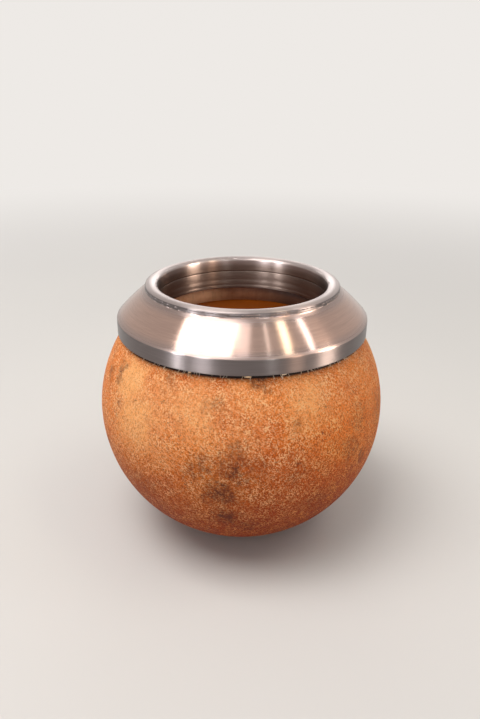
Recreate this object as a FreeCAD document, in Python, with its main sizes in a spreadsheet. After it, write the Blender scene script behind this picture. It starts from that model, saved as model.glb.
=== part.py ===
import FreeCAD, Part
import os
import re
import Sketcher

# A mate gourd: a round dried gourd with a steel collar on its cut mouth, a
# rolled steel sleeve inside the mouth, and the drink that fills it.
# Heights are measured from the surface it stands on; the axis is Z.

doc = FreeCAD.newDocument("MateGourd")

# Driving sizes in millimetres.
driving = {
    # gourd: a ball a little shorter than it is wide, with a small flat foot
    "bellyRadius": 45.0,
    "bellyHalfHeight": 43.83,
    "footRadius": 12.0,
    "gourdWall": 8.0,
    # mouth: the ring of gourd left round the sleeve is the collar's seat
    "mouthRadius": 25.7,
    "sleeveWall": 0.8,
    "sleeveClearance": 0.1,
    "seatWidth": 2.4,
    "shoulderMargin": 0.4,
    # collar: crowned rim, short upright wall, convex cone and upright band
    "rimAboveSeat": 5.88,
    "rimWidth": 3.74,
    "crownRise": 0.6,
    "rimWall": 1.4,
    "coneBulge": 0.3,
    "bandHeight": 4.54,
    "skirtDrop": 8.06,
    "skirtGap": 0.57,
    "skirtSheet": 1.0,
    "rimInnerRound": 1.0,
    "rimOuterRound": 0.4,
    "neckRound": 0.5,
    "bandTopRound": 0.4,
    "bandFootRound": 0.3,
    # sleeve: three rolls below the collar's turned-down lip
    "lipDepth": 4.0,
    "wideRoll": 3.0,
    "narrowRoll": 1.8,
    "endRoll": 1.1,
    "rollRise": 0.35,
    # drink: how far its surface lies below the sleeve
    "drinkBelowSleeve": 4.94,
}

# Sizes that follow from the driving ones, so that the pieces keep fitting.
following = {
    "centreHeight": "bellyHalfHeight * sqrt(1 - (footRadius / bellyRadius)^2)",
    "sleeveRadius": "mouthRadius + sleeveWall",
    "boreRadius": "sleeveRadius + sleeveClearance",
    "neckRadius": "boreRadius + seatWidth",
    "seatHeight": "centreHeight + bellyHalfHeight * sqrt(1 - (neckRadius / bellyRadius)^2)",
    "shoulderRadius": "neckRadius - shoulderMargin",
    "rimRadius": "mouthRadius + rimWidth",
    "rimEdge": "seatHeight + rimAboveSeat",
    "crownRadius": "rimWidth^2 / (8 * crownRise) + crownRise / 2",
    "coneTop": "rimEdge - rimWall",
    "bandBottom": "seatHeight - skirtDrop",
    "bandTop": "bandBottom + bandHeight",
    "gourdAtBand": "bellyRadius * sqrt(1 - ((bandBottom - centreHeight) / bellyHalfHeight)^2)",
    "bandInnerRadius": "gourdAtBand + skirtGap",
    "bandRadius": "bandInnerRadius + skirtSheet",
    "coneRun": "bandRadius - rimRadius",
    "coneFall": "coneTop - bandTop",
    "coneSlope": "coneFall / coneRun",
    "coneRadius": "(coneRun^2 + coneFall^2) / (8 * coneBulge) + coneBulge / 2",
    "sheetUpright": "skirtSheet * sqrt(1 + coneSlope^2)",
    "undersideTop": "coneTop + (rimRadius - shoulderRadius) * coneSlope - sheetUpright",
    "undersideFoot": "bandTop + skirtSheet * coneSlope - sheetUpright",
    "lipEdge": "rimEdge - lipDepth",
    "wideRollFoot": "lipEdge - wideRoll",
    "narrowRollFoot": "wideRollFoot - narrowRoll",
    "sleeveFoot": "narrowRollFoot - endRoll",
    "wideRollRadius": "wideRoll^2 / (8 * rollRise) + rollRise / 2",
    "narrowRollRadius": "narrowRoll^2 / (8 * rollRise) + rollRise / 2",
    "endRollRadius": "endRoll^2 / (8 * rollRise) + rollRise / 2",
    "cavityRadius": "bellyRadius - gourdWall",
    "cavityHalfHeight": "bellyHalfHeight - gourdWall",
    "drinkHeight": "sleeveFoot - drinkBelowSleeve",
}


def fill_sheet(name, entries, write):
    """A sheet with one named size a row."""
    sheet = doc.addObject("Spreadsheet::Sheet", name)
    for row, (alias, content) in enumerate(entries.items(), start=1):
        sheet.set(f"A{row}", alias)
        sheet.set(f"B{row}", write(content))
        sheet.setAlias(f"B{row}", alias)
    doc.recompute()
    return sheet


def qualify(formula, home=None):
    """Put the owning sheet's name before each size named in a formula."""
    def owned(match):
        word = match.group(0)
        if word in driving:
            return f"Sizes.{word}"
        if word in following and home != "Fits":
            return f"Fits.{word}"
        return word
    return re.sub(r"[A-Za-z]+", owned, formula)


sizes = fill_sheet("Sizes", driving, str)
fits = fill_sheet("Fits", following, lambda formula: "=" + qualify(formula, "Fits"))


def value(name):
    return float(sizes.get(name) if name in driving else fits.get(name))


def bind(item, **formulas):
    for prop, formula in formulas.items():
        item.setExpression(prop.replace("__", "."), qualify(formula))


def primitive(kind, label, **formulas):
    item = doc.addObject(kind, label)
    item.Label = label
    bind(item, **formulas)
    return item


def boolean(kind, label, base, tool):
    item = doc.addObject(kind, label)
    item.Label = label
    item.Base = base
    item.Tool = tool
    item.Refine = True
    return item


def outline_edge(start, end, rise):
    """A line, or an arc that rises to the left of its direction.

    An arc runs anticlockwise, so it is drawn from its end to its start.
    """
    first = FreeCAD.Vector(*start, 0)
    last = FreeCAD.Vector(*end, 0)
    if not rise:
        return Part.LineSegment(first, last), (1, 2)
    along = last - first
    left = FreeCAD.Vector(-along.y, along.x, 0).normalize()
    return Part.Arc(last, (first + last) / 2 + left * rise, first), (2, 1)


def draw_profile(sketch, corners):
    """Draw a closed outline whose corners and arcs are bound to their sizes.

    A corner is (radius, height), and one that starts an arc adds (arc radius, rise).
    """
    points = [(value(corner[0]), value(corner[1])) for corner in corners]
    ends = []
    for index, (_, _, *arc) in enumerate(corners):
        rise = value(arc[1]) if arc else 0
        edge, edge_ends = outline_edge(points[index], points[(index + 1) % len(points)], rise)
        sketch.addGeometry(edge, False)
        ends.append(edge_ends)

    def constrain(kind, *where, size=None):
        number = sketch.addConstraint(Sketcher.Constraint(kind, *where))
        if size:
            sketch.setExpression(f"Constraints[{number}]", qualify(size))

    for index, (radius, height, *arc) in enumerate(corners):
        after = (index + 1) % len(corners)
        start, end = ends[index]
        constrain("Coincident", index, end, after, ends[after][0])
        constrain("DistanceX", -1, 1, index, start, points[index][0], size=radius)
        constrain("DistanceY", -1, 1, index, start, points[index][1], size=height)
        if arc:
            constrain("Radius", index, value(arc[0]), size=arc[0])


def turned_body(label, corners):
    """A body turned about the axis from an outline of (radius, height) corners."""
    body = doc.addObject("PartDesign::Body", label)
    body.Label = label
    sketch = body.newObject("Sketcher::SketchObject", label + "_profile")
    plane = next(item for item in body.Origin.OriginFeatures if item.Role == "XZ_Plane")
    sketch.AttachmentSupport = [(plane, "")]
    sketch.MapMode = "FlatFace"
    draw_profile(sketch, corners)
    turned = body.newObject("PartDesign::Revolution", label + "_turned")
    turned.Profile = sketch
    turned.ReferenceAxis = (sketch, ["V_Axis"])
    turned.Angle = 360
    doc.recompute()
    return body


def ring_edges(shape, radius, height, tolerance=1e-4):
    """Names of the ring edges with that radius and height."""
    names = []
    for number, edge in enumerate(shape.Edges, start=1):
        if not isinstance(edge.Curve, Part.Circle):
            continue
        off = max(abs(edge.Curve.Radius - radius), abs(edge.Curve.Center.z - height))
        if off < tolerance:
            names.append(f"Edge{number}")
    return names


def round_ring(body, radius, height, size):
    """Round the ring edge of that radius and height by a named size."""
    base = body.Tip
    fillet = body.newObject("PartDesign::Fillet", body.Label + "_" + size)
    fillet.Base = (base, ring_edges(base.Shape, value(radius), value(height)))
    bind(fillet, Radius=size)
    doc.recompute()


def make_gourd():
    outside = primitive("Part::Ellipsoid", "gourd_outside", Radius1="bellyHalfHeight",
                        Radius2="bellyRadius", Radius3="bellyRadius",
                        Placement__Base__z="centreHeight")
    span = primitive("Part::Cylinder", "gourd_span", Radius="bellyRadius + gourdWall",
                     Height="seatHeight")
    cavity = primitive("Part::Ellipsoid", "gourd_cavity", Radius1="cavityHalfHeight",
                       Radius2="cavityRadius", Radius3="cavityRadius",
                       Placement__Base__z="centreHeight")
    bore = primitive("Part::Cylinder", "gourd_bore", Radius="boreRadius",
                     Height="seatHeight", Placement__Base__z="centreHeight")
    trimmed = boolean("Part::Common", "gourd_trimmed", outside, span)
    hollow = boolean("Part::Fuse", "gourd_hollow", cavity, bore)
    shell = boolean("Part::Cut", "gourd_shell", trimmed, hollow)
    return shell, cavity


def make_drink(cavity):
    level = primitive("Part::Cylinder", "drink_level", Radius="cavityRadius + gourdWall",
                      Height="drinkHeight")
    return boolean("Part::Common", "drink", cavity, level)


def make_collar():
    collar = turned_body("steel_collar", [
        ("mouthRadius", "rimEdge", "crownRadius", "crownRise"),
        ("rimRadius", "rimEdge"),
        ("rimRadius", "coneTop", "coneRadius", "coneBulge"),
        ("bandRadius", "bandTop"),
        ("bandRadius", "bandBottom"),
        ("bandInnerRadius", "bandBottom"),
        ("bandInnerRadius", "undersideFoot"),
        ("shoulderRadius", "undersideTop"),
        ("shoulderRadius", "seatHeight"),
        ("boreRadius", "seatHeight"),
        ("boreRadius", "lipEdge"),
        ("mouthRadius", "lipEdge"),
    ])
    round_ring(collar, "mouthRadius", "rimEdge", "rimInnerRound")
    round_ring(collar, "rimRadius", "rimEdge", "rimOuterRound")
    round_ring(collar, "rimRadius", "coneTop", "neckRound")
    round_ring(collar, "bandRadius", "bandTop", "bandTopRound")
    round_ring(collar, "bandRadius", "bandBottom", "bandFootRound")
    return collar


def make_sleeve():
    return turned_body("mouth_sleeve", [
        ("sleeveRadius", "lipEdge"),
        ("sleeveRadius", "sleeveFoot"),
        ("mouthRadius", "sleeveFoot", "endRollRadius", "rollRise"),
        ("mouthRadius", "narrowRollFoot", "narrowRollRadius", "rollRise"),
        ("mouthRadius", "wideRollFoot", "wideRollRadius", "rollRise"),
        ("mouthRadius", "lipEdge"),
    ])


def check_and_write(parts):
    doc.recompute()
    for item in doc.Objects:
        if "Invalid" in item.State or "Error" in item.State:
            raise RuntimeError(f"{item.Label} failed: {item.State}")
    os.makedirs("parts", exist_ok=True)
    for part in parts:
        shape = part.Shape
        if shape.isNull() or not shape.isValid():
            raise RuntimeError(f"{part.Label} has no valid shape")
        print(part.Label, "solids", len(shape.Solids), "volume", round(shape.Volume, 1))
        shape.exportStep(f"parts/{part.Label}.step")


gourd_shell, gourd_cavity = make_gourd()
check_and_write([gourd_shell, make_drink(gourd_cavity), make_collar(), make_sleeve()])
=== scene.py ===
import math
import random

import bmesh
import bpy
from mathutils import Matrix, Vector, noise


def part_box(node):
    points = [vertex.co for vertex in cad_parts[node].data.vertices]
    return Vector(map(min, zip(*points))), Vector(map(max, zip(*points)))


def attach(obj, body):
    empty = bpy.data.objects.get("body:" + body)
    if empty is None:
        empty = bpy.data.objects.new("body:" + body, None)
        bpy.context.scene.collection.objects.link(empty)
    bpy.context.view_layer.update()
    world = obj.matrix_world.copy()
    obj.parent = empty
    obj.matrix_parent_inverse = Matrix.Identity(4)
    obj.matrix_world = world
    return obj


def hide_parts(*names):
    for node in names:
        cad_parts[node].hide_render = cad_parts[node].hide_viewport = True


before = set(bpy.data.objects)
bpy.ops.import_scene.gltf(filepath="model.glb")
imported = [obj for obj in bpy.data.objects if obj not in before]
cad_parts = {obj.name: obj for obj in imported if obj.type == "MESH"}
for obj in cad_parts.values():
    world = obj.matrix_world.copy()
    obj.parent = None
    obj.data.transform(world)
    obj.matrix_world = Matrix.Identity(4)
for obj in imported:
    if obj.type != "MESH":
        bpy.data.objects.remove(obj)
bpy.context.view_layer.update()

# A mate gourd with a spun steel collar, standing on a pale floor.
# All lengths are in metres.

scene = bpy.context.scene
mm = 0.001
weldGap = 1e-6       # points nearer than this become one
sliverEdge = 1e-7
ringGap = 2e-5       # how near a ring its points have to lie

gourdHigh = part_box("gourd_shell")[1]
collarLow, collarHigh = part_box("steel_collar")
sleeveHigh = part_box("mouth_sleeve")[1]
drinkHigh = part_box("drink")[1]
bellyRadius = gourdHigh[0]
seatHeight = gourdHigh[2]
bandRadius = collarHigh[0]
bandFoot = collarLow[2]
collarTop = collarHigh[2]
drinkLevel = drinkHigh[2]


def tone(red, green, blue):
    # a colour as it looks on a screen, 0 to 255, made linear
    def linear(part):
        part = part / 255
        return part / 12.92 if part <= 0.04045 else ((part + 0.055) / 1.055) ** 2.4
    return (linear(red), linear(green), linear(blue), 1)


def newMaterial(name):
    material = bpy.data.materials.new(name)
    material.use_nodes = True
    material.node_tree.nodes.clear()
    return material, material.node_tree


def addNode(tree, kind, feeds=None, **settings):
    node = tree.nodes.new(kind)
    for name, setting in settings.items():
        setattr(node, name, setting)
    for name, feed in (feeds or {}).items():
        socket = node.inputs[name]
        if isinstance(feed, bpy.types.NodeSocket):
            tree.links.new(feed, socket)
        else:
            socket.default_value = feed
    return node


def objectPlace(tree):
    return addNode(tree, "ShaderNodeTexCoord").outputs["Object"]


def noiseField(tree, place, scale, detail=2, roughness=0.5, distortion=0):
    feeds = {"Vector": place, "Scale": scale, "Detail": detail,
             "Roughness": roughness, "Distortion": distortion}
    return addNode(tree, "ShaderNodeTexNoise", feeds).outputs["Fac"]


def calc(tree, operation, first, second):
    return addNode(tree, "ShaderNodeMath", {0: first, 1: second}, operation=operation).outputs[0]


def between(tree, value, low, high, outLow=0, outHigh=1):
    # a smooth step from outLow to outHigh
    feeds = {"Value": value, "From Min": low, "From Max": high, "To Min": outLow, "To Max": outHigh}
    return addNode(tree, "ShaderNodeMapRange", feeds, interpolation_type="SMOOTHSTEP").outputs[0]


def mixColour(tree, amount, first, second, blend="MIX"):
    node = addNode(tree, "ShaderNodeMix", data_type="RGBA", blend_type=blend)
    for name, feed in ((0, amount), (6, first), (7, second)):
        if isinstance(feed, bpy.types.NodeSocket):
            tree.links.new(feed, node.inputs[name])
        else:
            node.inputs[name].default_value = feed
    return node.outputs[2]


def vectorCalc(tree, operation, first, second=None):
    feeds = {0: first}
    if second is not None:
        feeds[1] = second
    return addNode(tree, "ShaderNodeVectorMath", feeds, operation=operation)


def scaled(tree, vector, amount):
    return addNode(tree, "ShaderNodeVectorMath", {0: vector, "Scale": amount}, operation="SCALE").outputs[0]


def finishSurface(tree, feeds):
    shader = addNode(tree, "ShaderNodeBsdfPrincipled", feeds)
    output = addNode(tree, "ShaderNodeOutputMaterial")
    tree.links.new(shader.outputs[0], output.inputs["Surface"])


def bumpFrom(tree, height, strength, distance):
    feeds = {"Height": height, "Strength": strength, "Distance": distance}
    return addNode(tree, "ShaderNodeBump", feeds).outputs["Normal"]


def spun(outline, steps):
    # turns a closed outline of (radius, height) points about the axis
    mesh = bmesh.new()
    points = [mesh.verts.new((radius, 0, height)) for radius, height in outline]
    edges = [mesh.edges.new(pair) for pair in zip(points, points[1:] + points[:1])]
    bmesh.ops.spin(mesh, geom=points + edges, cent=(0, 0, 0), axis=(0, 0, 1),
                   angle=2 * math.pi, steps=steps, use_merge=True)
    bmesh.ops.remove_doubles(mesh, verts=mesh.verts, dist=weldGap)
    bmesh.ops.dissolve_degenerate(mesh, dist=sliverEdge, edges=mesh.edges)
    bmesh.ops.recalc_face_normals(mesh, faces=mesh.faces)
    return mesh


def roundRing(mesh, radius, height, size, segments=4):
    # rounds the ring edge that lies at that radius and height
    def onRing(vert):
        return math.hypot(math.hypot(vert.co.x, vert.co.y) - radius, vert.co.z - height) < ringGap
    ring = [edge for edge in mesh.edges if all(onRing(vert) for vert in edge.verts)]
    bmesh.ops.bevel(mesh, geom=ring, offset=size, offset_type="OFFSET", segments=segments,
                    affect="EDGES", profile=0.5, material=-1, clamp_overlap=True)


def bowed(start, end, bow, steps):
    # points from start up to, not including, end, bowed to the left of the way there
    (r0, z0), (r1, z1) = start, end
    length = math.hypot(r1 - r0, z1 - z0)
    left = (-(z1 - z0) / length, (r1 - r0) / length)
    points = []
    for step in range(steps):
        part = step / steps
        rise = bow * 4 * part * (1 - part)
        points.append((r0 + (r1 - r0) * part + left[0] * rise,
                       z0 + (z1 - z0) * part + left[1] * rise))
    return points


def makePiece(name, mesh, materials, replaced=None):
    data = bpy.data.meshes.new(name)
    mesh.to_mesh(data)
    mesh.free()
    piece = bpy.data.objects.new(name, data)
    scene.collection.objects.link(piece)
    for material in materials:
        data.materials.append(material)
    data.polygons.foreach_set("use_smooth", [True] * len(data.polygons))
    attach(piece, "root")
    if replaced:
        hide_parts(replaced)
    print("made", name, len(data.polygons), "faces")


gourd = {
    "halfHeight": 43.83 * mm,
    "footRadius": 12 * mm,
    "wall": 8 * mm,
    "bore": 26.6 * mm,
    "rows": 150,
    "steps": 384,
    "lumps": ((22, 0.42 * mm), (60, 0.14 * mm), (170, 0.04 * mm)),   # how close, how deep
    "lumpFade": 6 * mm,    # no lumps at the seat and the foot, all of them this far away
}
gourd["centre"] = gourd["halfHeight"] * math.sqrt(1 - (gourd["footRadius"] / bellyRadius) ** 2)

# marks on the skin: degrees to the right of the front, height in mm, size in mm, strength
darkMarks = [
    (7, 66.5, 3.6, 1.0), (12, 64.5, 3, 0.5), (-2.5, 48.5, 3.6, 0.7), (-3.6, 43, 6.2, 1.0),
    (-7, 35, 5.8, 1.0), (-5.5, 26, 5.2, 1.0), (3, 20.5, 4.5, 0.7), (-15, 42, 5, 0.65), (5, 43, 4.5, 0.5),
    (22, 54, 2.2, 0.5), (53, 37, 3.2, 0.75), (45, 42.5, 5, 0.5), (50, 52, 5, 0.3), (-12, 60.5, 3, 0.5),
    (-59, 62.5, 2.6, 0.85), (-58.5, 59.5, 2.2, 0.75), (-68.5, 59, 3.2, 0.75), (-54.5, 53, 1.8, 0.55),
    (-54.5, 49.5, 1.7, 0.55), (-66, 36.5, 2.4, 0.85), (-29, 65, 2.6, 0.45), (20, 40, 3.5, 0.4),
    (-40, 30, 6, 0.3), (30, 28, 6, 0.35), (70, 48, 7, 0.4), (110, 38, 8, 0.6), (128, 52, 5, 0.6),
    (150, 30, 7, 0.6), (176, 45, 6, 0.6), (-160, 58, 5, 0.6), (-132, 36, 8, 0.6), (-105, 50, 5, 0.6),
    (-95, 30, 6, 0.5),
]
paleMarks = [
    (-50, 61, 9, 0.9), (-42, 52, 12, 0.8), (-30, 60, 9, 0.5), (-30, 45, 8, 0.35), (-17, 58, 11, 0.6),
    (-12, 50, 8, 0.3), (2, 62, 9, 0.35), (25, 60, 9, 0.55), (0, 52, 8, 0.3), (95, 60, 12, 0.6),
    (160, 62, 12, 0.6), (-120, 60, 12, 0.6), (-85, 42, 10, 0.5), (130, 25, 10, 0.4),
]


def ovalRadius(height, inset=0):
    # the gourd's radius at a height, inset below its skin
    part = (height - gourd["centre"]) / (gourd["halfHeight"] - inset)
    return (bellyRadius - inset) * math.sqrt(max(0, 1 - part * part))


def ovalArc(fromHeight, toHeight, inset, rows):
    # points down the oval, evenly turned
    high = gourd["halfHeight"] - inset
    first = math.asin(max(-1, min(1, (fromHeight - gourd["centre"]) / high)))
    last = math.asin(max(-1, min(1, (toHeight - gourd["centre"]) / high)))
    points = []
    for row in range(rows + 1):
        turn = first + (last - first) * row / rows
        points.append(((bellyRadius - inset) * math.cos(turn), gourd["centre"] + high * math.sin(turn)))
    return points


def skinPoint(degrees, height):
    turn = math.radians(degrees)
    radius = ovalRadius(height)
    return Vector((radius * math.sin(turn), -radius * math.cos(turn), height))


def markMask(tree, place, marks):
    # how strongly any of the marks covers a place
    total = None
    for degrees, height, size, strength in marks:
        away = vectorCalc(tree, "DISTANCE", place, skinPoint(degrees, height * mm)).outputs["Value"]
        cover = between(tree, away, size * 0.25 * mm, size * 1.25 * mm, strength, 0)
        total = cover if total is None else calc(tree, "MAXIMUM", total, cover)
    return total


skin = {
    "light": tone(240, 132, 46),
    "deep": tone(220, 102, 24),
    "pale": tone(255, 182, 112),
    "mottle": tone(176, 84, 34),
    "mark": tone(88, 36, 20),
    # painted shadow under the band
    "bandShadow": tone(28, 14, 8),
    "fibre": tone(255, 203, 147),
    # painted shade: darker fibres near the foot
    "shadedFibre": tone(216, 134, 70),
    "crease": tone(150, 60, 16),
    # painted shade: darker creases near the foot
    "shadedCrease": tone(92, 32, 8),
    "footShadeColour": tone(150, 82, 26),    # painted shade, multiplies the colours near the foot
    "eastShade": tone(255, 230, 172),    # painted shade, multiplies the colours on the east side
    "roughness": (0.5, 0.68),
    # the higher a scale, the finer the noise
    "broadScale": 30,
    "mottleScale": 120,
    "swirlScale": 170,
    "sparseScale": 200,
    "patchScale": 260,
    "speckScale": 620,
    "poreScale": 430,
    "fibreAcross": 2500,
    "fibreAlong": 1050,
    "swirl": 12 * mm,                       # how far marks and pores are pulled about
    "footShadeSpread": 16 * mm,
    "footShadeHeights": (54 * mm, 12 * mm),       # where the painted shade at the foot starts and is full
    "eastShadeReach": (8 * mm, 30 * mm),
    "eastShadeHeights": (64 * mm, 50 * mm),
    "creaseHeights": (66 * mm, 46 * mm),    # fewer creases above
    # painted shadow under the band: how far below its foot it starts and is full
    "bandShadowBelow": (1.5 * mm, 0.9 * mm),
    "creaseStrength": 0.75,
    "fibreStrength": 0.95,
    "markStrength": 0.95,
    "poreStrength": 0.8,
    "fibreHeight": 0.7,
    "creaseDepth": 0.5,
    "poreDepth": 0.9,
    "mottleHeight": 1.4,
    "bump": (0.7, 0.18 * mm),
    "fibreWays": ((0.1, 0.15, 1), (0.85, 0.25, 0.5), (-0.75, 0.3, 0.6), (0.95, -0.3, -0.25),
                  (-0.4, 0.2, 0.9), (0.3, 0.9, -0.5)),
}


def fibreLayer(tree, place, way):
    # noise drawn out along one way
    across, along = skin["fibreAcross"], skin["fibreAlong"]
    way = Vector(way).normalized()
    length = vectorCalc(tree, "DOT_PRODUCT", place, way * (along - across)).outputs["Value"]
    stretch = scaled(tree, way, length)
    spread = scaled(tree, place, across)
    return noiseField(tree, vectorCalc(tree, "ADD", spread, stretch).outputs[0], 1, 1, 0.5, 0.4)


def makeSkinMaterial():
    material, tree = newMaterial("gourdSkin")
    place = objectPlace(tree)
    parts = addNode(tree, "ShaderNodeSeparateXYZ", {0: place})
    east, up = parts.outputs["X"], parts.outputs["Z"]
    swirl = addNode(tree, "ShaderNodeTexNoise", {
        "Vector": place, "Scale": skin["swirlScale"], "Detail": 4, "Roughness": 0.65}).outputs["Color"]
    drift = vectorCalc(tree, "SUBTRACT", swirl, (0.5, 0.5, 0.5)).outputs[0]
    loose = vectorCalc(tree, "ADD", place, scaled(tree, drift, skin["swirl"])).outputs[0]

    broad = noiseField(tree, place, skin["broadScale"], 3, 0.55)
    colour = mixColour(tree, between(tree, broad, 0.36, 0.64), skin["light"], skin["deep"])
    pale = markMask(tree, loose, paleMarks)
    colour = mixColour(tree, pale, colour, skin["pale"])
    mottle = noiseField(tree, place, skin["mottleScale"], 6, 0.7)
    colour = mixColour(tree, between(tree, mottle, 0.5, 0.72, 0, 0.6), colour, skin["mottle"])

    # painted shade: darker and more saturated towards the foot, fibres and creases too
    uneven = calc(tree, "MULTIPLY", calc(tree, "SUBTRACT", mottle, 0.5), skin["footShadeSpread"])
    low = between(tree, calc(tree, "ADD", up, uneven), *skin["footShadeHeights"])
    colour = mixColour(tree, low, colour, skin["footShadeColour"], "MULTIPLY")
    fibreColour = mixColour(tree, low, skin["fibre"], skin["shadedFibre"])

    # fine light fibres and dark creases that run every way, in patches
    light, dark = 0.0, 0.0
    for way in skin["fibreWays"]:
        layer = fibreLayer(tree, place, way)
        light = calc(tree, "MAXIMUM", light, between(tree, layer, 0.62, 0.69))
        dark = calc(tree, "MAXIMUM", dark, between(tree, layer, 0.38, 0.3))
    patch = between(tree, noiseField(tree, place, skin["patchScale"], 3, 0.65), 0.36, 0.6, 0.4, 1)
    strong = calc(tree, "MULTIPLY", patch, between(tree, pale, 0, 0.9, 1, 0.7))
    fibres = calc(tree, "MULTIPLY", light, strong)
    fewer = between(tree, up, *skin["creaseHeights"], 0.7, 1)
    fewer = calc(tree, "MULTIPLY", dark, fewer)
    creases = calc(tree, "MULTIPLY", fewer, between(tree, pale, 0, 0.9, 1, 0.65))
    # creases take painted shade near the foot
    creaseColour = mixColour(tree, low, skin["crease"], skin["shadedCrease"])
    colour = mixColour(tree, calc(tree, "MULTIPLY", creases, skin["creaseStrength"]), colour, creaseColour)
    colour = mixColour(tree, calc(tree, "MULTIPLY", fibres, skin["fibreStrength"]), colour, fibreColour)

    # painted shade, darker and more saturated on the east side below the top
    eastShade = calc(tree, "MULTIPLY", between(tree, east, *skin["eastShadeReach"], 0, 0.8),
                between(tree, up, *skin["eastShadeHeights"]))
    colour = mixColour(tree, eastShade, colour, skin["eastShade"], "MULTIPLY")

    # dark weathered patches, broken up into specks
    specks = noiseField(tree, place, skin["speckScale"], 4, 0.75)
    marks = markMask(tree, loose, darkMarks)
    broken = calc(tree, "MULTIPLY", marks, between(tree, specks, 0.36, 0.6, 1, 0.35))
    colour = mixColour(tree, calc(tree, "MULTIPLY", broken, skin["markStrength"]), colour, skin["mark"])
    cells = addNode(tree, "ShaderNodeTexVoronoi", {"Vector": loose, "Scale": skin["poreScale"]})
    sparse = between(tree, noiseField(tree, place, skin["sparseScale"], 2, 0.6), 0.52, 0.6)
    pores = calc(tree, "MULTIPLY", between(tree, cells.outputs["Distance"], 0.08, 0.2, 1, 0), sparse)
    colour = mixColour(tree, calc(tree, "MULTIPLY", pores, skin["poreStrength"]), colour, skin["mark"])

    # painted shadow on the skin just under the band
    shadowFoot, shadowTop = (bandFoot - drop for drop in skin["bandShadowBelow"])
    bandShadow = between(tree, up, shadowFoot, shadowTop)
    colour = mixColour(tree, bandShadow, colour, skin["bandShadow"])

    height = calc(tree, "MULTIPLY", fibres, skin["fibreHeight"])
    height = calc(tree, "SUBTRACT", height, calc(tree, "MULTIPLY", creases, skin["creaseDepth"]))
    height = calc(tree, "SUBTRACT", height, calc(tree, "MULTIPLY", pores, skin["poreDepth"]))
    height = calc(tree, "ADD", height, calc(tree, "MULTIPLY", mottle, skin["mottleHeight"]))
    rough = between(tree, specks, 0.3, 0.7, *skin["roughness"])
    finishSurface(tree, {"Base Color": colour, "Roughness": rough, "IOR": 1.45, "Specular IOR Level": 0.12,
                         "Normal": bumpFrom(tree, height, *skin["bump"])})
    return material


boreWall = {
    # painted light on the west side of the bore
    "litWest": (tone(252, 204, 160), tone(226, 172, 126)),
    "soaked": (tone(168, 118, 84), tone(136, 88, 56)),
    # painted shade on the east side of the bore
    "dark": tone(84, 48, 26),
    "streak": tone(120, 76, 48),
    "litFadeEast": (-14 * mm, -3 * mm),    # painted light on the west fades into the soaked colour
    "shadeRiseEast": (2 * mm, 17 * mm),        # the soaked colour fades into painted shade on the east
    "roughness": (0.6, 0.8),
}


def makeInsideMaterial():
    material, tree = newMaterial("gourdInside")
    place = objectPlace(tree)
    stain = between(tree, noiseField(tree, place, 160, 4, 0.6), 0.35, 0.68)
    east = addNode(tree, "ShaderNodeSeparateXYZ", {0: place}).outputs["X"]
    litWest = mixColour(tree, stain, *boreWall["litWest"])
    soaked = mixColour(tree, stain, *boreWall["soaked"])
    # painted light on the west and painted shade on the east, over the stained wall
    colour = mixColour(tree, between(tree, east, *boreWall["litFadeEast"]), litWest, soaked)
    colour = mixColour(tree, between(tree, east, *boreWall["shadeRiseEast"]), colour, boreWall["dark"])
    streak = noiseField(tree, vectorCalc(tree, "MULTIPLY", place, (1, 1, 0.25)).outputs[0], 500, 3, 0.6)
    colour = mixColour(tree, between(tree, streak, 0.52, 0.75, 0, 0.3), colour, boreWall["streak"])
    rough = between(tree, streak, 0.3, 0.7, *boreWall["roughness"])
    finishSurface(tree, {"Base Color": colour, "Roughness": rough,
                         "Normal": bumpFrom(tree, streak, 0.4, 0.2 * mm)})
    return material


def makeGourd():
    floorHeight = gourd["centre"] - gourd["halfHeight"] + gourd["wall"]
    boreFoot = gourd["centre"] + (gourd["halfHeight"] - gourd["wall"]) * math.sqrt(
        1 - (gourd["bore"] / (bellyRadius - gourd["wall"])) ** 2)
    outline = ovalArc(seatHeight, 0, 0, gourd["rows"])
    outline.append((0, 0))
    outline += reversed(ovalArc(boreFoot, floorHeight, gourd["wall"], gourd["rows"] // 2))
    outline.append((gourd["bore"], seatHeight))
    mesh = spun(outline, gourd["steps"])
    for vert in mesh.verts:
        radius = math.hypot(vert.co.x, vert.co.y)
        if radius < ovalRadius(vert.co.z, gourd["wall"] / 2):
            continue
        underSeat = min(1, max(0, (seatHeight - vert.co.z) / gourd["lumpFade"]))
        fade = underSeat * min(1, max(0, vert.co.z / gourd["lumpFade"]))
        depth = 0
        for scale, amount in gourd["lumps"]:
            depth += amount * 0.5 * (1 + noise.noise(vert.co * scale + Vector((3.1, 7.7, 1.3))))
        vert.co -= Vector((vert.co.x, vert.co.y, 0)).normalized() * depth * fade
    for face in mesh.faces:
        middle = face.calc_center_median()
        inward = math.hypot(middle.x, middle.y) < ovalRadius(middle.z, gourd["wall"] / 2)
        if inward and middle.z > 1 * mm:
            face.material_index = 1
    makePiece("gourdShell", mesh, [makeSkinMaterial(), makeInsideMaterial()],
              "gourd_shell")


collar = {
    "mouth": 25.7 * mm,
    "rimWidth": 3.74 * mm,
    "crownRise": 0.6 * mm,
    "rimWall": 1.4 * mm,
    "coneBulge": 0.3 * mm,
    "bandHeight": 4.54 * mm,
    "sheet": 1.0 * mm,
    "lip": 4.0 * mm,
    "shoulder": 28.6 * mm,
    "rimInnerRound": 2.0 * mm,
    "rimOuterRound": 0.24 * mm,
    "neckRound": 0.6 * mm,
    "bandRound": 0.24 * mm,
    "footRound": 0.15 * mm,
    "insideRound": 0.2 * mm,
    "steps": 384,
}
rimRadius = collar["mouth"] + collar["rimWidth"]
rimEdge = collarTop - collar["crownRise"]
coneTop = rimEdge - collar["rimWall"]
bandTop = bandFoot + collar["bandHeight"]

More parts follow.
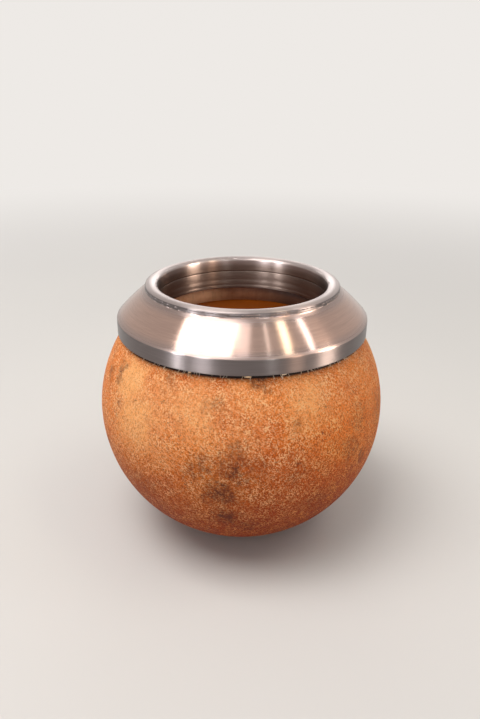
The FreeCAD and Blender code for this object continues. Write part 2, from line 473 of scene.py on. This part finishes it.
sleeve = {
    "rolls": (3.0 * mm, 1.8 * mm, 1.1 * mm),
    "rise": 0.07 * mm,
    "topRound": 0.05 * mm,
    "steps": 320,
}
steel = {
    "colour": tone(182, 154, 141),
    "endReflectionColour": tone(140, 132, 132),    # painted reflection, greyer towards the neck and the band
    "endReflectionAmount": 0.55,
    # painted dark reflection on the band and the rim wall
    "darkReflectionColour": tone(112, 104, 103),
    "rimColour": tone(172, 159, 155),
    # painted shade inside the mouth, also the sleeve's colour
    "insideShadeColour": tone(124, 109, 101),
    "stretch": 0.9,
    "collarRoughness": (0.17, 0.21),
    "sleeveRoughness": (0.3, 0.4),
    "duller": 0.14,    # added on the band, rim, mouth and roundings
    "lineScale": 2600,
    "lineTilt": 1.25,    # makes the lines follow the cone
    "turnScale": 3,
    # where each zone starts and is full, out or up from the edge it lies at
    "zones": {
        "outerRim": (-0.3 * mm, -0.1 * mm),
        "rimWall": (0.2 * mm, 0.45 * mm),
        "band": (0.1 * mm, -0.1 * mm),
        "mouth": (1.6 * mm, 1.0 * mm),
        "inside": (-0.4 * mm, -2.6 * mm),
        "crown": (-1.2 * mm, -0.8 * mm),
        "coneFoot": (2.4 * mm, 0),
        "coneHead": (-2.0 * mm, 0),
        "bandEdge": (0.9 * mm, 0.2 * mm),
        "neckEdge": (-1.0 * mm, -0.3 * mm),
    },
}


def brushed(name, colour, roughness, forCollar=False):
    # steel with fine brushing round the axis; the collar's parts differ in gloss, and in colour through
    # painted reflections and painted shade
    material, tree = newMaterial(name)
    place = objectPlace(tree)
    parts = addNode(tree, "ShaderNodeSeparateXYZ", {0: place})
    east, north, up = parts.outputs[0], parts.outputs[1], parts.outputs[2]
    flat = addNode(tree, "ShaderNodeCombineXYZ", {0: east, 1: north, 2: 0.0}).outputs[0]
    reach = vectorCalc(tree, "LENGTH", flat).outputs["Value"]
    way = vectorCalc(tree, "NORMALIZE", flat).outputs[0]
    along = calc(tree, "SUBTRACT", reach, calc(tree, "MULTIPLY", up, steel["lineTilt"]))
    along = calc(tree, "MULTIPLY", along, steel["lineScale"])
    lift = addNode(tree, "ShaderNodeCombineXYZ", {2: along}).outputs[0]
    turn = scaled(tree, way, steel["turnScale"])
    lines = noiseField(tree, vectorCalc(tree, "ADD", turn, lift).outputs[0], 1.0, 4, 0.7)
    cloud = noiseField(tree, place, 60, 3, 0.6)
    rough = between(tree, lines, 0.3, 0.7, *roughness)
    if forCollar:
        def zone(part, value, edge, full=1):
            start, end = steel["zones"][part]
            return between(tree, value, edge + start, edge + end, 0, full)

        outerRim = zone("outerRim", reach, rimRadius)
        rimSide = calc(tree, "MULTIPLY", outerRim, zone("rimWall", up, coneTop))
        side = calc(tree, "MAXIMUM", rimSide, zone("band", up, bandTop))
        inner = zone("mouth", reach, collar["mouth"])
        within = calc(tree, "MULTIPLY", inner, zone("inside", up, rimEdge))
        crown = calc(tree, "MAXIMUM", inner, zone("crown", up, rimEdge))
        # painted reflection: greyer towards the neck and the band
        endReflection = calc(tree, "MAXIMUM", zone("coneFoot", up, bandTop, steel["endReflectionAmount"]),
                        zone("coneHead", up, coneTop, steel["endReflectionAmount"]))
        colour = mixColour(tree, endReflection, colour, steel["endReflectionColour"])
        colour = mixColour(tree, crown, colour, steel["rimColour"])
        # painted dark reflection on the band and the rim wall
        colour = mixColour(tree, side, colour, steel["darkReflectionColour"])
        # painted shade down the inside of the mouth
        colour = mixColour(tree, within, colour, steel["insideShadeColour"])
        edges = calc(tree, "MAXIMUM", zone("bandEdge", up, bandTop), zone("neckEdge", up, coneTop))
        dull = calc(tree, "MAXIMUM", calc(tree, "MAXIMUM", side, crown),
                    calc(tree, "MAXIMUM", within, edges))
        rough = calc(tree, "ADD", rough, calc(tree, "MULTIPLY", dull, steel["duller"]))
    shade = between(tree, lines, 0.3, 0.7, 0.9, 1.06)
    shadeColour = addNode(tree, "ShaderNodeCombineColor", {0: shade, 1: shade, 2: shade}).outputs[0]
    mixed = mixColour(tree, 1, colour, shadeColour, "MULTIPLY")
    rough = calc(tree, "ADD", rough, between(tree, cloud, 0.4, 0.65, 0, 0.02))
    around = addNode(tree, "ShaderNodeCombineXYZ", {
        0: calc(tree, "MULTIPLY", north, -1), 1: east, 2: 0.0}).outputs[0]
    finishSurface(tree, {"Base Color": mixed, "Metallic": 1.0, "Roughness": rough,
                         "Anisotropic": steel["stretch"], "Anisotropic Rotation": 0.25,
                         "Tangent": vectorCalc(tree, "NORMALIZE", around).outputs[0],
                         "Normal": bumpFrom(tree, lines, 0.03, 0.02 * mm)})
    return material


def makeCollar(material):
    bandInner = bandRadius - collar["sheet"]
    slope = (coneTop - bandTop) / (bandRadius - rimRadius)
    upright = collar["sheet"] * math.sqrt(1 + slope * slope)
    underTop = coneTop + (rimRadius - collar["shoulder"]) * slope - upright
    underFoot = bandTop + collar["sheet"] * slope - upright
    outline = bowed((collar["mouth"], rimEdge), (rimRadius, rimEdge), collar["crownRise"], 10)
    outline += bowed((rimRadius, rimEdge), (rimRadius, coneTop), 0, 6)
    outline += bowed((rimRadius, coneTop), (bandRadius, bandTop), collar["coneBulge"], 14)
    outline += bowed((bandRadius, bandTop), (bandRadius, bandFoot), 0, 10)
    outline += [(bandRadius, bandFoot), (bandInner, bandFoot), (bandInner, underFoot),
                (collar["shoulder"], underTop), (collar["shoulder"], seatHeight),
                (gourd["bore"], seatHeight), (gourd["bore"], rimEdge - collar["lip"])]
    outline += bowed((collar["mouth"], rimEdge - collar["lip"]), (collar["mouth"], rimEdge), 0, 8)
    mesh = spun(outline, collar["steps"])
    roundRing(mesh, collar["mouth"], rimEdge, collar["rimInnerRound"], 8)
    roundRing(mesh, rimRadius, rimEdge, collar["rimOuterRound"])
    roundRing(mesh, rimRadius, coneTop, collar["neckRound"], 6)
    roundRing(mesh, bandRadius, bandTop, collar["bandRound"])
    roundRing(mesh, bandRadius, bandFoot, collar["footRound"])
    roundRing(mesh, bandInner, bandFoot, collar["insideRound"], 2)
    roundRing(mesh, collar["mouth"], rimEdge - collar["lip"], collar["insideRound"], 1)
    makePiece("steelCollar", mesh, [material], "steel_collar")


def makeSleeve(material):
    top = sleeveHigh[2]
    outer = sleeveHigh[0]
    foot = top - sum(sleeve["rolls"])
    outline = [(outer, top), (outer, foot)]
    height = foot
    for roll in reversed(sleeve["rolls"]):
        outline += bowed((collar["mouth"], height), (collar["mouth"], height + roll), sleeve["rise"], 8)
        height += roll
    outline.append((collar["mouth"], top))
    mesh = spun(outline, sleeve["steps"])
    roundRing(mesh, collar["mouth"], top, sleeve["topRound"], 2)
    makePiece("mouthSleeve", mesh, [material], "mouth_sleeve")


drink = {
    "intoWall": 0.3 * mm,
    "meniscus": 0.45 * mm,
    "meniscusReach": 1.6 * mm,
    "rows": 60,
    "steps": 256,
    "colours": (tone(116, 55, 7), tone(106, 49, 6)),
    "thinEdge": tone(156, 86, 30),
    "thinReach": (26 * mm, 31.5 * mm),
    "roughness": 0.08,
}


def makeDrinkMaterial():
    material, tree = newMaterial("drinkLiquid")
    place = objectPlace(tree)
    cloud = noiseField(tree, place, 70, 3, 0.5, 0.6)
    colour = mixColour(tree, between(tree, cloud, 0.3, 0.7), *drink["colours"])
    parts = addNode(tree, "ShaderNodeSeparateXYZ", {0: place})
    east, north = parts.outputs[0], parts.outputs[1]
    flat = addNode(tree, "ShaderNodeCombineXYZ", {0: east, 1: north, 2: 0.0}).outputs[0]
    reach = vectorCalc(tree, "LENGTH", flat).outputs["Value"]
    colour = mixColour(tree, between(tree, reach, *drink["thinReach"], 0, 0.5), colour, drink["thinEdge"])
    ripple = noiseField(tree, place, 90, 1, 0.4)
    finishSurface(tree, {"Base Color": colour, "Roughness": drink["roughness"], "IOR": 1.33,
                         "Normal": bumpFrom(tree, ripple, 0.1, 0.4 * mm)})
    return material


def makeDrink():
    inset = gourd["wall"] - drink["intoWall"]
    edge = ovalRadius(drinkLevel, gourd["wall"])
    outline = [(0, drinkLevel), (edge * 0.5, drinkLevel)]
    for step in range(9):
        part = step / 8
        outline.append((edge - drink["meniscusReach"] * (1 - part),
                        drinkLevel + drink["meniscus"] * part ** 3))
    floorHeight = gourd["centre"] - gourd["halfHeight"] + inset
    outline += ovalArc(drinkLevel + drink["meniscus"], floorHeight, inset, drink["rows"])
    outline[-1] = (0, floorHeight)
    mesh = spun(outline, drink["steps"])
    makePiece("drinkFill", mesh, [makeDrinkMaterial()], "drink")


fibre = {
    "seed": 11,
    "count": 110,
    "length": (1.3 * mm, 2.6 * mm),
    "thick": (0.07 * mm, 0.12 * mm),
    "colours": (tone(250, 230, 204), tone(216, 176, 132)),
    "down": 50,         # degrees
    "sideLean": 0.9,    # radians either way, as is tipLean
    "tipLean": 0.3,
    "spread": 70,       # degrees, how far from the front every other one usually is
    "chipSunk": 0.15 * mm,
    "chipGrain": 2500,
    "chipDepth": 0.35 * mm,
    "chipRagged": 0.12 * mm,
    # degrees right of the front, width, height
    "chips": ((2.5, 1.8 * mm, 0.55 * mm), (-21, 1.0 * mm, 0.4 * mm), (17, 1.6 * mm, 0.4 * mm),
              (75, 1.1 * mm, 0.4 * mm), (140, 1.3 * mm, 0.4 * mm), (-110, 1.2 * mm, 0.5 * mm)),
}


def makeFibreMaterial():
    material, tree = newMaterial("dryFibre")
    fleck = noiseField(tree, objectPlace(tree), 900, 2, 0.5)
    colour = mixColour(tree, between(tree, fleck, 0.35, 0.65), *fibre["colours"])
    finishSurface(tree, {"Base Color": colour, "Roughness": 0.75})
    return material


def aroundBand(turn, radius, height):
    return Matrix.Rotation(turn, 4, "Z") @ Matrix.Translation((0, -radius, height))


def makeFibres():
    # dry fibres and flakes that stand out of the gap under the band
    chance = random.Random(fibre["seed"])
    mesh = bmesh.new()
    gapRadius = (ovalRadius(bandFoot) + bandRadius - collar["sheet"]) / 2
    for number in range(fibre["count"]):
        turn = math.radians(chance.gauss(0, fibre["spread"]) if number % 2 else chance.uniform(-180, 180))
        length = chance.uniform(*fibre["length"])
        thick = chance.uniform(*fibre["thick"])
        sideways = Matrix.Rotation(chance.uniform(-fibre["sideLean"], fibre["sideLean"]), 4, "Y")
        tip = math.radians(180 - fibre["down"]) + chance.uniform(-fibre["tipLean"], fibre["tipLean"])
        place = aroundBand(turn, gapRadius, bandFoot) @ sideways @ Matrix.Rotation(tip, 4, "X")
        bmesh.ops.create_cone(mesh, cap_ends=True, segments=5, radius1=thick, radius2=thick * 0.3,
                              depth=length, matrix=place @ Matrix.Translation((0, 0, length * 0.35)))
    for degrees, width, height in fibre["chips"]:
        place = aroundBand(math.radians(degrees), bandRadius - fibre["chipSunk"], bandFoot - height * 0.35)
        place = place @ Matrix.Diagonal((width, fibre["chipDepth"], height, 1))
        made = bmesh.ops.create_icosphere(mesh, subdivisions=2, radius=0.5, matrix=place)
        for vert in made["verts"]:
            grain = vert.co * fibre["chipGrain"]
            ragged = [noise.noise(grain + Vector((shift, 0, 0))) for shift in (0, 9, 18)]
            vert.co += Vector(ragged) * fibre["chipRagged"]
    bmesh.ops.recalc_face_normals(mesh, faces=mesh.faces)
    makePiece("bandFibres", mesh, [makeFibreMaterial()])


camera = {
    "focal": 32.55,
    "sensor": 36,
    "near": 10 * mm,
    "back": 190.4 * mm,
    "height": 139.1 * mm,
    "down": 23.63,    # degrees, as are roll and turn
    "roll": 0.47,
    "turn": -0.17,
}
studio = {
    "ceiling": 0.85,
    "worldLight": 0.42,
    "backdrop": tone(238, 234, 230),
    "roof": tone(226, 222, 220),
    "floor": (tone(216, 212, 208), tone(212, 208, 205)),
    "floorRadius": 6,
    "floorFade": (0.16, 0.75),
    # name, east, north, turn in degrees, width, length, brightness, tint
    "panels": (
        ("keyLeft", -0.47, -0.13, 54, 0.34, 0.52, 6.2, (1, 0.985, 0.96)),
        ("keyRight", -0.21, -0.25, 74, 0.3, 0.52, 6.2, (1, 0.985, 0.96)),
        ("keyFade", 0.01, -0.26, 88, 0.12, 0.5, 1.9, (0.96, 0.97, 1)),
        ("stripThin", 0.23, -0.24, 105.4, 0.022, 0.5, 2.6, (0.94, 1, 0.98)),
        ("stripNear", 0.41, -0.18, 118, 0.085, 0.5, 5.5, (1, 0.95, 0.74)),
        ("stripFar", 0.65, -0.02, 137, 0.075, 0.55, 6.0, (1, 1, 1)),
    ),
    # name, place, width, height, brightness, tint, reflections only
    "lamps": (
        ("backLight", (0, 1.0, 0.42), 0.4, 0.3, 2.4, (1, 1, 1), False),
        ("lowLeft", (-0.34, -0.25, 0.13), 0.035, 0.24, 46.0, (0.94, 0.97, 1), True),
        ("lowMid", (-0.23, -0.37, 0.13), 0.1, 0.24, 13.0, (0.96, 0.97, 1), True),
        ("lowFront", (0.17, -0.38, 0.13), 0.02, 0.24, 10.0, (0.95, 1, 0.98), True),
        ("lowNear", (0.3, -0.3, 0.13), 0.07, 0.24, 9.0, (1, 0.7, 0.5), True),
        ("lowRight", (0.45, -0.12, 0.13), 0.12, 0.24, 32.0, (1, 0.84, 0.7), True),
    ),
}


def aim(location, target):
    return (Vector(target) - Vector(location)).to_track_quat("-Z", "Y").to_matrix().to_4x4()


def softbox(name, location, target, width, depth, strength, colour, onlyReflected=False):
    # strength is how bright its face is, where 1 is white
    lamp = bpy.data.lights.new(name, "AREA")
    lamp.shape = "RECTANGLE"
    lamp.size = width
    lamp.size_y = depth
    lamp.color = colour
    lamp.energy = strength * math.pi * width * depth
    item = bpy.data.objects.new(name, lamp)
    item.matrix_world = Matrix.Translation(location) @ aim(location, target)
    item.visible_camera = False
    item.visible_diffuse = not onlyReflected
    scene.collection.objects.link(item)
    return item


def ceilingPanel(name, x, y, turn, width, depth, strength, colour):
    # a softbox that hangs level, its length turned in degrees from east
    item = softbox(name, (x, y, studio["ceiling"]), (x, y, 0), width, depth, strength, colour)
    item.matrix_world = Matrix.Translation((x, y, studio["ceiling"])) @ Matrix.Rotation(
        math.radians(turn - 90), 4, "Z")


def makeCamera():
    lens = bpy.data.cameras.new("camera")
    lens.lens = camera["focal"]
    lens.sensor_width = camera["sensor"]
    lens.clip_start = camera["near"]
    item = bpy.data.objects.new("camera", lens)
    scene.collection.objects.link(item)
    down, turn, roll = (math.radians(camera[key]) for key in ("down", "turn", "roll"))
    ahead = Vector((math.sin(turn) * math.cos(down), math.cos(turn) * math.cos(down), -math.sin(down)))
    level = Vector((math.cos(turn), -math.sin(turn), 0))
    above = level.cross(ahead)
    right = math.cos(roll) * level + math.sin(roll) * above
    up = -math.sin(roll) * level + math.cos(roll) * above
    facing = Matrix((right, up, -ahead)).transposed().to_4x4()
    item.matrix_world = Matrix.Translation((0, -camera["back"], camera["height"])) @ facing
    scene.camera = item


def makeWorld():
    world = bpy.data.worlds.new("studio")
    world.use_nodes = True
    tree = world.node_tree
    tree.nodes.clear()
    direction = addNode(tree, "ShaderNodeTexCoord").outputs["Generated"]
    up = addNode(tree, "ShaderNodeSeparateXYZ", {0: direction}).outputs["Z"]
    seen = mixColour(tree, between(tree, up, 0.0, 0.9), studio["backdrop"], studio["roof"])
    path = addNode(tree, "ShaderNodeLightPath")
    light = mixColour(tree, path.outputs["Is Diffuse Ray"], seen, (studio["worldLight"],) * 3 + (1,))
    background = addNode(tree, "ShaderNodeBackground", {"Color": light, "Strength": 1})
    output = addNode(tree, "ShaderNodeOutputWorld")
    tree.links.new(background.outputs[0], output.inputs["Surface"])
    scene.world = world


def makeFloor():
    # pale near the part, fading to the backdrop far away
    material, tree = newMaterial("paleFloor")
    place = objectPlace(tree)
    speck = noiseField(tree, place, 3, 2, 0.5)
    colour = mixColour(tree, between(tree, speck, 0.3, 0.7), *studio["floor"])
    far = between(tree, vectorCalc(tree, "LENGTH", place).outputs["Value"], *studio["floorFade"])
    path = addNode(tree, "ShaderNodeLightPath")
    seen = calc(tree, "MAXIMUM", path.outputs["Is Camera Ray"], path.outputs["Is Glossy Ray"])
    seen = calc(tree, "MAXIMUM", seen, path.outputs["Is Transmission Ray"])
    ground = addNode(tree, "ShaderNodeBsdfDiffuse", {"Color": colour})
    haze = addNode(tree, "ShaderNodeEmission", {"Color": studio["backdrop"]})
    blend = addNode(tree, "ShaderNodeMixShader", {
        0: calc(tree, "MULTIPLY", far, seen), 1: ground.outputs[0], 2: haze.outputs[0]})
    output = addNode(tree, "ShaderNodeOutputMaterial")
    tree.links.new(blend.outputs[0], output.inputs["Surface"])
    mesh = bmesh.new()
    bmesh.ops.create_circle(mesh, cap_ends=True, segments=96, radius=studio["floorRadius"])
    data = bpy.data.meshes.new("floor")
    mesh.to_mesh(data)
    mesh.free()
    data.materials.append(material)
    floor = bpy.data.objects.new("floor", data)
    scene.collection.objects.link(floor)


def makeStage():
    makeCamera()
    makeWorld()
    makeFloor()
    for panel in studio["panels"]:
        ceilingPanel(*panel)
    for name, place, width, depth, strength, colour, onlyReflected in studio["lamps"]:
        softbox(name, place, (0, 0, bandFoot), width, depth, strength, colour, onlyReflected)
    print("stage set")


scene.view_settings.view_transform = "Standard"
makeStage()
collarSteel = brushed("collarSteel", steel["colour"], steel["collarRoughness"], True)
# the sleeve takes the painted shade of the mouth's inside
sleeveSteel = brushed("sleeveSteel", steel["insideShadeColour"], steel["sleeveRoughness"])
makeGourd()
makeCollar(collarSteel)
makeSleeve(sleeveSteel)
makeDrink()
makeFibres()

print("done")
